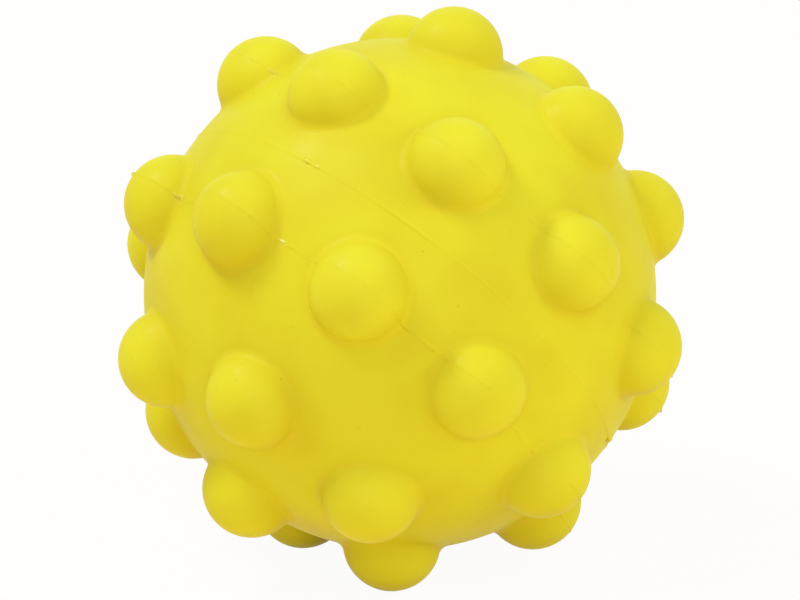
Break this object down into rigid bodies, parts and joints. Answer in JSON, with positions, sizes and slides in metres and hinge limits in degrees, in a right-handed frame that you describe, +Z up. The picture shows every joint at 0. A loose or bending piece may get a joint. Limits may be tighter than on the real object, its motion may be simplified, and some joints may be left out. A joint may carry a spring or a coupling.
{
  "type": "pop-it stress ball",
  "caption": "Hollow soft rubber ball of two bonded half shells, covered in round bubbles that pop in under a finger; a squeeze and fidget toy.",
  "frame": {"origin": "centre of the ball", "axes": "+Z up with the ball standing on three of its bubbles, front of the ball towards -Y"},
  "size_m": [0.0712, 0.0722, 0.0713],
  "materials": {
    "silicone": "satin",
    "bond": "gloss"
  },
  "bodies": {
    "shell": {"lower_half_shell": "silicone", "upper_half_shell": "silicone", "seam_bond": "bond"},
    "lower_seam_bubble_1": {"lower_seam_bubble_1": "silicone"},
    "lower_seam_bubble_2": {"lower_seam_bubble_2": "silicone"},
    "lower_seam_bubble_3": {"lower_seam_bubble_3": "silicone"},
    "lower_seam_bubble_4": {"lower_seam_bubble_4": "silicone"},
    "lower_seam_bubble_5": {"lower_seam_bubble_5": "silicone"},
    "lower_seam_bubble_6": {"lower_seam_bubble_6": "silicone"},
    "lower_seam_bubble_7": {"lower_seam_bubble_7": "silicone"},
    "lower_seam_bubble_8": {"lower_seam_bubble_8": "silicone"},
    "lower_seam_bubble_9": {"lower_seam_bubble_9": "silicone"},
    "lower_seam_bubble_10": {"lower_seam_bubble_10": "silicone"},
    "lower_shoulder_bubble_1": {"lower_shoulder_bubble_1": "silicone"},
    "lower_shoulder_bubble_2": {"lower_shoulder_bubble_2": "silicone"},
    "lower_shoulder_bubble_3": {"lower_shoulder_bubble_3": "silicone"},
    "lower_shoulder_bubble_4": {"lower_shoulder_bubble_4": "silicone"},
    "lower_shoulder_bubble_5": {"lower_shoulder_bubble_5": "silicone"},
    "lower_shoulder_bubble_6": {"lower_shoulder_bubble_6": "silicone"},
    "lower_pole_bubble": {"lower_pole_bubble": "silicone"},
    "upper_seam_bubble_1": {"upper_seam_bubble_1": "silicone"},
    "upper_seam_bubble_2": {"upper_seam_bubble_2": "silicone"},
    "upper_seam_bubble_3": {"upper_seam_bubble_3": "silicone"},
    "upper_seam_bubble_4": {"upper_seam_bubble_4": "silicone"},
    "upper_seam_bubble_5": {"upper_seam_bubble_5": "silicone"},
    "upper_seam_bubble_6": {"upper_seam_bubble_6": "silicone"},
    "upper_seam_bubble_7": {"upper_seam_bubble_7": "silicone"},
    "upper_seam_bubble_8": {"upper_seam_bubble_8": "silicone"},
    "upper_seam_bubble_9": {"upper_seam_bubble_9": "silicone"},
    "upper_seam_bubble_10": {"upper_seam_bubble_10": "silicone"},
    "upper_shoulder_bubble_1": {"upper_shoulder_bubble_1": "silicone"},
    "upper_shoulder_bubble_2": {"upper_shoulder_bubble_2": "silicone"},
    "upper_shoulder_bubble_3": {"upper_shoulder_bubble_3": "silicone"},
    "upper_shoulder_bubble_4": {"upper_shoulder_bubble_4": "silicone"},
    "upper_shoulder_bubble_5": {"upper_shoulder_bubble_5": "silicone"},
    "upper_shoulder_bubble_6": {"upper_shoulder_bubble_6": "silicone"},
    "upper_pole_bubble": {"upper_pole_bubble": "silicone"}
  },
  "joints": [
    {"name": "lower_seam_bubble_1_pop", "type": "slide", "parent": "shell", "child": "lower_seam_bubble_1", "axis": [-0.5373, 0.1816, 0.8236], "range_m": [0, 0.0096]},
    {"name": "lower_seam_bubble_2_pop", "type": "slide", "parent": "shell", "child": "lower_seam_bubble_2", "axis": [-0.2441, -0.3195, 0.9156], "range_m": [0, 0.0096]},
    {"name": "lower_seam_bubble_3_pop", "type": "slide", "parent": "shell", "child": "lower_seam_bubble_3", "axis": [0.2121, -0.6434, 0.7356], "range_m": [0, 0.0096]},
    {"name": "lower_seam_bubble_4_pop", "type": "slide", "parent": "shell", "child": "lower_seam_bubble_4", "axis": [0.6571, -0.6665, 0.3522], "range_m": [0, 0.0096]},
    {"name": "lower_seam_bubble_5_pop", "type": "slide", "parent": "shell", "child": "lower_seam_bubble_5", "axis": [0.9208, -0.3799, -0.088], "range_m": [0, 0.0096]},
    {"name": "lower_seam_bubble_6_pop", "type": "slide", "parent": "shell", "child": "lower_seam_bubble_6", "axis": [0.9026, 0.1069, -0.417], "range_m": [0, 0.0096]},
    {"name": "lower_seam_bubble_7_pop", "type": "slide", "parent": "shell", "child": "lower_seam_bubble_7", "axis": [0.6094, 0.6079, -0.509], "range_m": [0, 0.0096]},
    {"name": "lower_seam_bubble_8_pop", "type": "slide", "parent": "shell", "child": "lower_seam_bubble_8", "axis": [0.1531, 0.9318, -0.329], "range_m": [0, 0.0096]},
    {"name": "lower_seam_bubble_9_pop", "type": "slide", "parent": "shell", "child": "lower_seam_bubble_9", "axis": [-0.2918, 0.9549, 0.0544], "range_m": [0, 0.0096]},
    {"name": "lower_seam_bubble_10_pop", "type": "slide", "parent": "shell", "child": "lower_seam_bubble_10", "axis": [-0.5556, 0.6683, 0.4946], "range_m": [0, 0.0096]},
    {"name": "lower_shoulder_bubble_1_pop", "type": "slide", "parent": "shell", "child": "lower_shoulder_bubble_1", "axis": [0.0332, 0.4007, 0.9156], "range_m": [0, 0.0096]},
    {"name": "lower_shoulder_bubble_2_pop", "type": "slide", "parent": "shell", "child": "lower_shoulder_bubble_2", "axis": [0.3975, -0.0606, 0.9156], "range_m": [0, 0.0096]},
    {"name": "lower_shoulder_bubble_3_pop", "type": "slide", "parent": "shell", "child": "lower_shoulder_bubble_3", "axis": [0.8424, -0.0837, 0.5323], "range_m": [0, 0.0096]},
    {"name": "lower_shoulder_bubble_4_pop", "type": "slide", "parent": "shell", "child": "lower_shoulder_bubble_4", "axis": [0.9231, 0.3545, 0.1489], "range_m": [0, 0.0096]},
    {"name": "lower_shoulder_bubble_5_pop", "type": "slide", "parent": "shell", "child": "lower_shoulder_bubble_5", "axis": [0.5588, 0.8158, 0.1489], "range_m": [0, 0.0096]},
    {"name": "lower_shoulder_bubble_6_pop", "type": "slide", "parent": "shell", "child": "lower_shoulder_bubble_6", "axis": [0.1138, 0.8389, 0.5323], "range_m": [0, 0.0096]},
    {"name": "lower_pole_bubble_pop", "type": "slide", "parent": "shell", "child": "lower_pole_bubble", "axis": [0.591, 0.4668, 0.6579], "range_m": [0, 0.0096]},
    {"name": "upper_seam_bubble_1_pop", "type": "slide", "parent": "shell", "child": "upper_seam_bubble_1", "axis": [-0.6094, -0.6079, 0.509], "range_m": [0, 0.0096]},
    {"name": "upper_seam_bubble_2_pop", "type": "slide", "parent": "shell", "child": "upper_seam_bubble_2", "axis": [-0.9026, -0.1069, 0.417], "range_m": [0, 0.0096]},
    {"name": "upper_seam_bubble_3_pop", "type": "slide", "parent": "shell", "child": "upper_seam_bubble_3", "axis": [-0.9208, 0.3799, 0.088], "range_m": [0, 0.0096]},
    {"name": "upper_seam_bubble_4_pop", "type": "slide", "parent": "shell", "child": "upper_seam_bubble_4", "axis": [-0.6571, 0.6665, -0.3522], "range_m": [0, 0.0096]},
    {"name": "upper_seam_bubble_5_pop", "type": "slide", "parent": "shell", "child": "upper_seam_bubble_5", "axis": [-0.2121, 0.6434, -0.7356], "range_m": [0, 0.0096]},
    {"name": "upper_seam_bubble_6_pop", "type": "slide", "parent": "shell", "child": "upper_seam_bubble_6", "axis": [0.2441, 0.3195, -0.9156], "range_m": [0, 0.0096]},
    {"name": "upper_seam_bubble_7_pop", "type": "slide", "parent": "shell", "child": "upper_seam_bubble_7", "axis": [0.5373, -0.1816, -0.8236], "range_m": [0, 0.0096]},
    {"name": "upper_seam_bubble_8_pop", "type": "slide", "parent": "shell", "child": "upper_seam_bubble_8", "axis": [0.5556, -0.6683, -0.4946], "range_m": [0, 0.0096]},
    {"name": "upper_seam_bubble_9_pop", "type": "slide", "parent": "shell", "child": "upper_seam_bubble_9", "axis": [0.2918, -0.9549, -0.0544], "range_m": [0, 0.0096]},
    {"name": "upper_seam_bubble_10_pop", "type": "slide", "parent": "shell", "child": "upper_seam_bubble_10", "axis": [-0.1531, -0.9318, 0.329], "range_m": [0, 0.0096]},
    {"name": "upper_shoulder_bubble_1_pop", "type": "slide", "parent": "shell", "child": "upper_shoulder_bubble_1", "axis": [-0.7419, -0.6642, -0.092], "range_m": [0, 0.0096]},
    {"name": "upper_shoulder_bubble_2_pop", "type": "slide", "parent": "shell", "child": "upper_shoulder_bubble_2", "axis": [-0.9512, -0.1453, -0.2721], "range_m": [0, 0.0096]},
    {"name": "upper_shoulder_bubble_3_pop", "type": "slide", "parent": "shell", "child": "upper_shoulder_bubble_3", "axis": [-0.6875, 0.1413, -0.7123], "range_m": [0, 0.0096]},
    {"name": "upper_shoulder_bubble_4_pop", "type": "slide", "parent": "shell", "child": "upper_shoulder_bubble_4", "axis": [-0.2144, -0.091, -0.9725], "range_m": [0, 0.0096]},
    {"name": "upper_shoulder_bubble_5_pop", "type": "slide", "parent": "shell", "child": "upper_shoulder_bubble_5", "axis": [-0.005, -0.6099, -0.7925], "range_m": [0, 0.0096]},
    {"name": "upper_shoulder_bubble_6_pop", "type": "slide", "parent": "shell", "child": "upper_shoulder_bubble_6", "axis": [-0.2688, -0.8965, -0.3522], "range_m": [0, 0.0096]},
    {"name": "upper_pole_bubble_pop", "type": "slide", "parent": "shell", "child": "upper_pole_bubble", "axis": [-0.591, -0.4668, -0.6579], "range_m": [0, 0.0096]}
  ]
}
